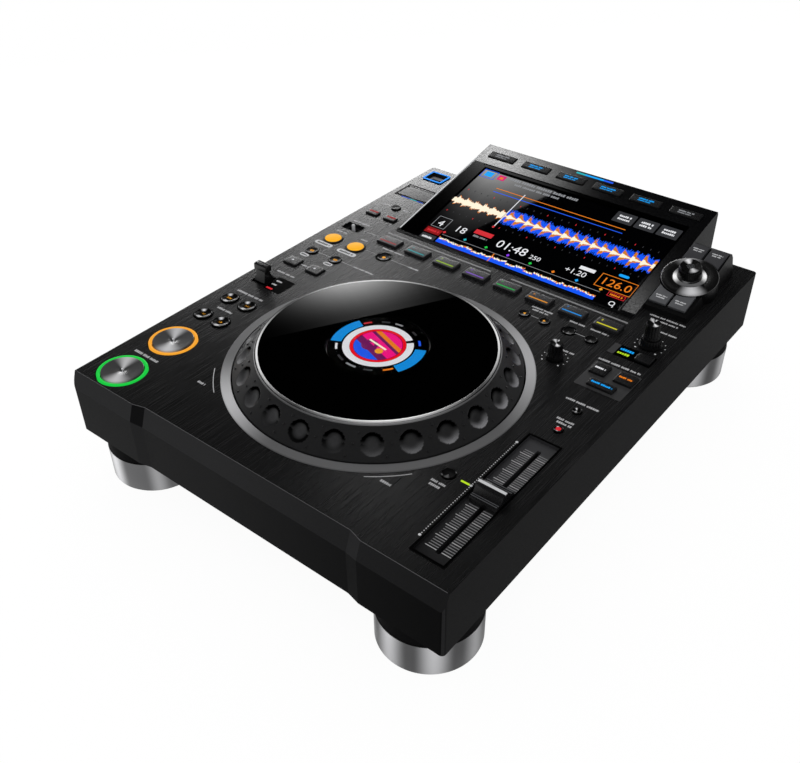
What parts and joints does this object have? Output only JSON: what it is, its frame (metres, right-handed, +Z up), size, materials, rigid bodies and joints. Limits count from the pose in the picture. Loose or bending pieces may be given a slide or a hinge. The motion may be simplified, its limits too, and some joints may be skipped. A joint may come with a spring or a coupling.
{
  "type": "tabletop dj media player",
  "caption": "Tabletop DJ media player on round feet: brushed black panel, large touch jog wheel, tilted touch screen with side dial, cue and transport keys, and a long tempo slider.",
  "frame": {"origin": "centre of the bounding box's footprint, on the table that the feet stand on", "axes": "+X to the user's right, +Y from the user to the back with the screen, +Z up"},
  "size_m": [0.331, 0.453, 0.1184],
  "materials": {
    "case_plastic": "fine satin black",
    "panel_black": "black anodised, fine brushed grain across the width",
    "steel_black": "matte black paint",
    "hood_plastic": "satin black",
    "bezel_black": "piano black",
    "screen_glass": "clear touch glass",
    "display_lit": "lit display",
    "metal_frame": "stamped",
    "dial_metal": "dark spun metal",
    "steel": "plain",
    "key_grey": "satin",
    "key_black": "satin",
    "key_metal": "spun",
    "silver_brushed": "brushed",
    "jog_black": "satin",
    "jog_chrome": "polished",
    "disc_gloss": "high gloss black",
    "rubber_black": "matte",
    "ring_green": "lit green",
    "ring_amber": "lit amber",
    "key_amber": "lit amber",
    "panel_smoke": "smoked",
    "port_dark": "moulded",
    "board_green": "circuit board",
    "jack_gold": "plated"
  },
  "bodies": {
    "player": {"upper_case": "case_plastic", "bottom_plate": "steel_black", "top_panel": "panel_black", "rear_panel": "steel_black", "screen_hood": "hood_plastic", "screen_bezel": "bezel_black", "screen_glass": "screen_glass", "screen_module": "metal_frame", "selector_housing": "case_plastic", "selector_ring": "dial_metal", "jog_trim_ring": "silver_brushed", "jog_mount": "metal_frame", "jog_display": "display_lit", "slider_panel": "case_plastic", "tempo_fader": "metal_frame", "foot_sleeves": "silver_brushed", "foot_cores": "rubber_black", "play_light_ring": "ring_green", "cue_light_ring": "ring_amber", "sd_slot": "port_dark", "usb_port": "port_dark", "key_panels": "panel_smoke", "circuit_boards": "board_green", "power_supply": "metal_frame", "audio_jacks": "jack_gold", "rear_sockets": "steel", "case_screws": "steel"},
    "jog_wheel": {"jog_wheel": "jog_black", "jog_chrome_ring": "jog_chrome", "jog_disc": "disc_gloss"},
    "tempo_slider": {"tempo_slider": "key_black"},
    "selector_shaft": {"selector_shaft": "steel"},
    "selector_knob": {"selector_knob": "dial_metal"},
    "play_button": {"play_button": "key_metal"},
    "cue_button": {"cue_button": "key_metal"},
    "track_search_keys": {"track_search_keys": "key_grey"},
    "search_keys": {"search_keys": "key_grey"},
    "beat_jump_keys": {"beat_jump_keys": "key_black"},
    "beat_loop_keys": {"beat_loop_keys": "key_black"},
    "loop_keys": {"loop_keys": "key_amber"},
    "source_keys": {"source_keys": "key_black"},
    "hot_cue_1": {"hot_cue_1": "key_grey"},
    "hot_cue_2": {"hot_cue_2": "key_grey"},
    "hot_cue_3": {"hot_cue_3": "key_grey"},
    "hot_cue_4": {"hot_cue_4": "key_grey"},
    "hot_cue_5": {"hot_cue_5": "key_grey"},
    "hot_cue_6": {"hot_cue_6": "key_grey"},
    "hot_cue_7": {"hot_cue_7": "key_grey"},
    "hot_cue_8": {"hot_cue_8": "key_grey"},
    "memory_keys": {"memory_keys": "key_black"},
    "sync_keys": {"sync_keys": "key_grey"},
    "tempo_keys": {"tempo_keys": "key_black"},
    "menu_keys": {"menu_keys": "key_grey"},
    "selector_keys": {"selector_keys": "key_grey"},
    "jog_adjust_knob": {"jog_adjust_knob": "key_black"},
    "vinyl_touch_knob": {"vinyl_touch_knob": "key_black"},
    "vinyl_release_knob": {"vinyl_release_knob": "key_black"},
    "direction_lever": {"direction_lever": "key_black"},
    "mode_switch": {"mode_switch": "key_grey"},
    "sd_door": {"sd_door": "case_plastic"}
  },
  "joints": [
    {"name": "jog_turn", "type": "hinge", "parent": "player", "child": "jog_wheel", "pos_m": [0.0028, -0.0852, 0.088], "axis": [0, 0, 1], "continuous": true},
    {"name": "tempo_slide", "type": "slide", "parent": "player", "child": "tempo_slider", "axis": [0, 1, 0], "range_m": [-0.05, 0.05]},
    {"name": "selector_push", "type": "slide", "parent": "player", "child": "selector_shaft", "axis": [0, 0.2079, -0.9781], "range_m": [0, 0.0008], "stiffness_N_per_m": 800, "springref_m": -0.0008},
    {"name": "selector_turn", "type": "hinge", "parent": "selector_shaft", "child": "selector_knob", "pos_m": [0.1333, 0.13872, 0.10834], "axis": [0, -0.2079, 0.9781], "continuous": true},
    {"name": "play_button_press", "type": "slide", "parent": "player", "child": "play_button", "axis": [0, 0, -1], "range_m": [0, 0.001], "stiffness_N_per_m": 400, "springref_m": -0.001},
    {"name": "cue_button_press", "type": "slide", "parent": "player", "child": "cue_button", "axis": [0, 0, -1], "range_m": [0, 0.001], "stiffness_N_per_m": 400, "springref_m": -0.001},
    {"name": "track_search_keys_press", "type": "slide", "parent": "player", "child": "track_search_keys", "axis": [0, 0, -1], "range_m": [0, 0.001], "stiffness_N_per_m": 400, "springref_m": -0.001},
    {"name": "search_keys_press", "type": "slide", "parent": "player", "child": "search_keys", "axis": [0, 0, -1], "range_m": [0, 0.001], "stiffness_N_per_m": 400, "springref_m": -0.001},
    {"name": "beat_jump_keys_press", "type": "slide", "parent": "player", "child": "beat_jump_keys", "axis": [0, 0, -1], "range_m": [0, 0.001], "stiffness_N_per_m": 400, "springref_m": -0.001},
    {"name": "beat_loop_keys_press", "type": "slide", "parent": "player", "child": "beat_loop_keys", "axis": [0, 0, -1], "range_m": [0, 0.001], "stiffness_N_per_m": 400, "springref_m": -0.001},
    {"name": "loop_keys_press", "type": "slide", "parent": "player", "child": "loop_keys", "axis": [0, 0, -1], "range_m": [0, 0.001], "stiffness_N_per_m": 400, "springref_m": -0.001},
    {"name": "source_keys_press", "type": "slide", "parent": "player", "child": "source_keys", "axis": [0, 0, -1], "range_m": [0, 0.001], "stiffness_N_per_m": 400, "springref_m": -0.001},
    {"name": "hot_cue_1_press", "type": "slide", "parent": "player", "child": "hot_cue_1", "axis": [0, 0, -1], "range_m": [0, 0.001], "stiffness_N_per_m": 400, "springref_m": -0.001},
    {"name": "hot_cue_2_press", "type": "slide", "parent": "player", "child": "hot_cue_2", "axis": [0, 0, -1], "range_m": [0, 0.001], "stiffness_N_per_m": 400, "springref_m": -0.001},
    {"name": "hot_cue_3_press", "type": "slide", "parent": "player", "child": "hot_cue_3", "axis": [0, 0, -1], "range_m": [0, 0.001], "stiffness_N_per_m": 400, "springref_m": -0.001},
    {"name": "hot_cue_4_press", "type": "slide", "parent": "player", "child": "hot_cue_4", "axis": [0, 0, -1], "range_m": [0, 0.001], "stiffness_N_per_m": 400, "springref_m": -0.001},
    {"name": "hot_cue_5_press", "type": "slide", "parent": "player", "child": "hot_cue_5", "axis": [0, 0, -1], "range_m": [0, 0.001], "stiffness_N_per_m": 400, "springref_m": -0.001},
    {"name": "hot_cue_6_press", "type": "slide", "parent": "player", "child": "hot_cue_6", "axis": [0, 0, -1], "range_m": [0, 0.001], "stiffness_N_per_m": 400, "springref_m": -0.001},
    {"name": "hot_cue_7_press", "type": "slide", "parent": "player", "child": "hot_cue_7", "axis": [0, 0, -1], "range_m": [0, 0.001], "stiffness_N_per_m": 400, "springref_m": -0.001},
    {"name": "hot_cue_8_press", "type": "slide", "parent": "player", "child": "hot_cue_8", "axis": [0, 0, -1], "range_m": [0, 0.001], "stiffness_N_per_m": 400, "springref_m": -0.001},
    {"name": "memory_keys_press", "type": "slide", "parent": "player", "child": "memory_keys", "axis": [0, 0, -1], "range_m": [0, 0.001], "stiffness_N_per_m": 400, "springref_m": -0.001},
    {"name": "sync_keys_press", "type": "slide", "parent": "player", "child": "sync_keys", "axis": [0, 0, -1], "range_m": [0, 0.001], "stiffness_N_per_m": 400, "springref_m": -0.001},
    {"name": "tempo_keys_press", "type": "slide", "parent": "player", "child": "tempo_keys", "axis": [0, 0, -1], "range_m": [0, 0.001], "stiffness_N_per_m": 400, "springref_m": -0.001},
    {"name": "menu_keys_press", "type": "slide", "parent": "player", "child": "menu_keys", "axis": [0, 0.2079, -0.9781], "range_m": [0, 0.001], "stiffness_N_per_m": 400, "springref_m": -0.001},
    {"name": "selector_keys_press", "type": "slide", "parent": "player", "child": "selector_keys", "axis": [0, 0.2079, -0.9781], "range_m": [0, 0.001], "stiffness_N_per_m": 400, "springref_m": -0.001},
    {"name": "jog_adjust_turn", "type": "hinge", "parent": "player", "child": "jog_adjust_knob", "pos_m": [0.097, 0, 0.088], "axis": [0, 0, 1], "range_deg": [-150, 150]},
    {"name": "touch_speed_turn", "type": "hinge", "parent": "player", "child": "vinyl_touch_knob", "pos_m": [0.144, 0.056, 0.088], "axis": [0, 0, 1], "range_deg": [-150, 150]},
    {"name": "release_speed_turn", "type": "hinge", "parent": "player", "child": "vinyl_release_knob", "pos_m": [0.144, 0.056, 0.088], "axis": [0, 0, 1], "range_deg": [-150, 150]},
    {"name": "direction_tilt", "type": "hinge", "parent": "player", "child": "direction_lever", "pos_m": [-0.147, -0.0505, 0.083], "axis": [1, 0, 0], "range_deg": [-14, 14]},
    {"name": "mode_tilt", "type": "hinge", "parent": "player", "child": "mode_switch", "pos_m": [-0.147, 0.061, 0.082], "axis": [0, 1, 0], "range_deg": [-15, 15]},
    {"name": "sd_door_hinge", "type": "hinge", "parent": "player", "child": "sd_door", "pos_m": [-0.14, 0.1547, 0.0868], "axis": [-1, 0, 0], "range_deg": [0, 95]}
  ]
}
